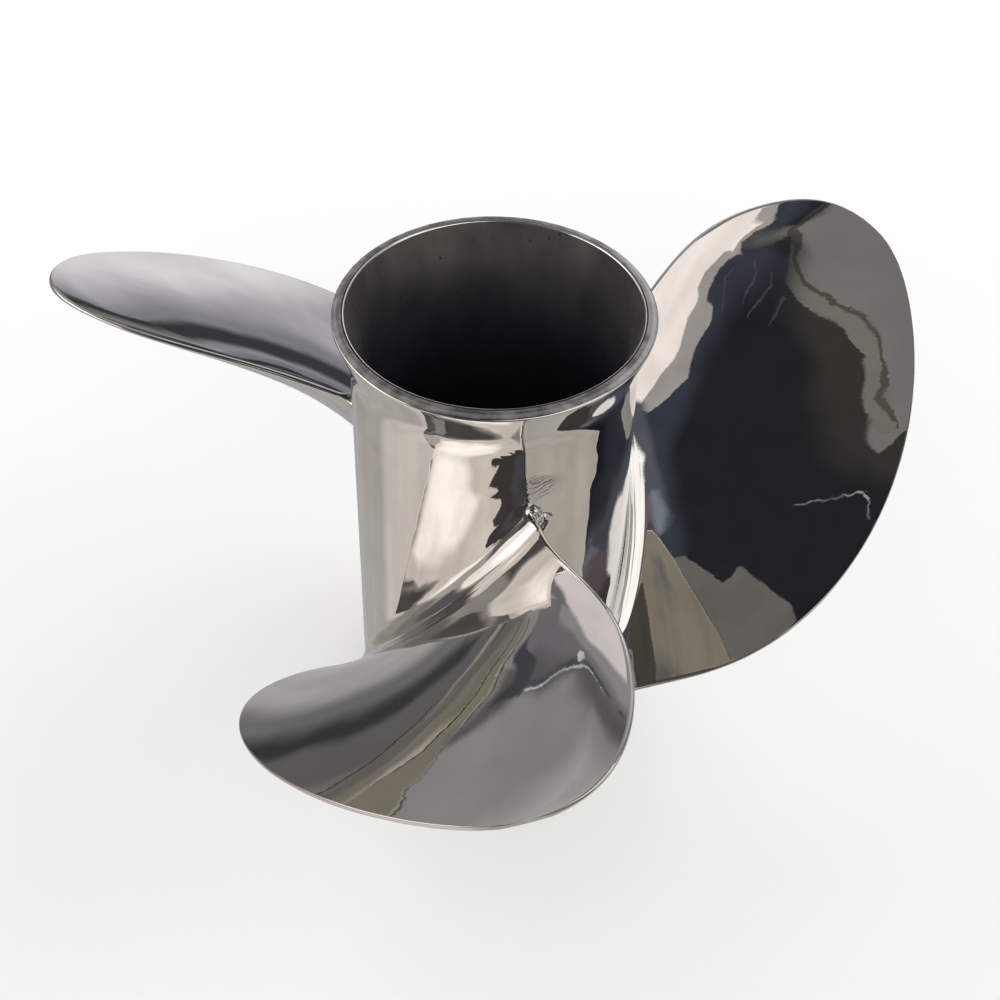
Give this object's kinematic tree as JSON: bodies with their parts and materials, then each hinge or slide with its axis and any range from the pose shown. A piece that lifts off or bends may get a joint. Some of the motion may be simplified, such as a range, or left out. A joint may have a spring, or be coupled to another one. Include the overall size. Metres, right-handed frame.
{
  "type": "outboard boat propeller",
  "caption": "Right-hand stainless boat propeller with broad raked blades on an open exhaust barrel with a flared aft ring and a rubber-bushed splined sleeve.",
  "frame": {"origin": "on the propeller's axis, level with the forward rim that it stands on", "axes": "+Z along the propeller axis towards the stern, the way the exhaust leaves"},
  "size_m": [0.302, 0.2843, 0.168],
  "materials": {
    "polished_steel": "mirror polished stainless steel",
    "cast_steel": "stainless steel left as cast, dark and matt",
    "rubber": "black moulded rubber",
    "brass": "broached brass"
  },
  "bodies": {
    "root": {"barrel": "polished_steel", "flared_ring": "polished_steel", "blade_1": "polished_steel", "blade_2": "polished_steel", "blade_3": "polished_steel", "inner_hub": "cast_steel", "rib_1": "cast_steel", "rib_2": "cast_steel", "rib_3": "cast_steel", "rubber_bush": "rubber", "spline_sleeve": "brass"}
  },
  "joints": []
}
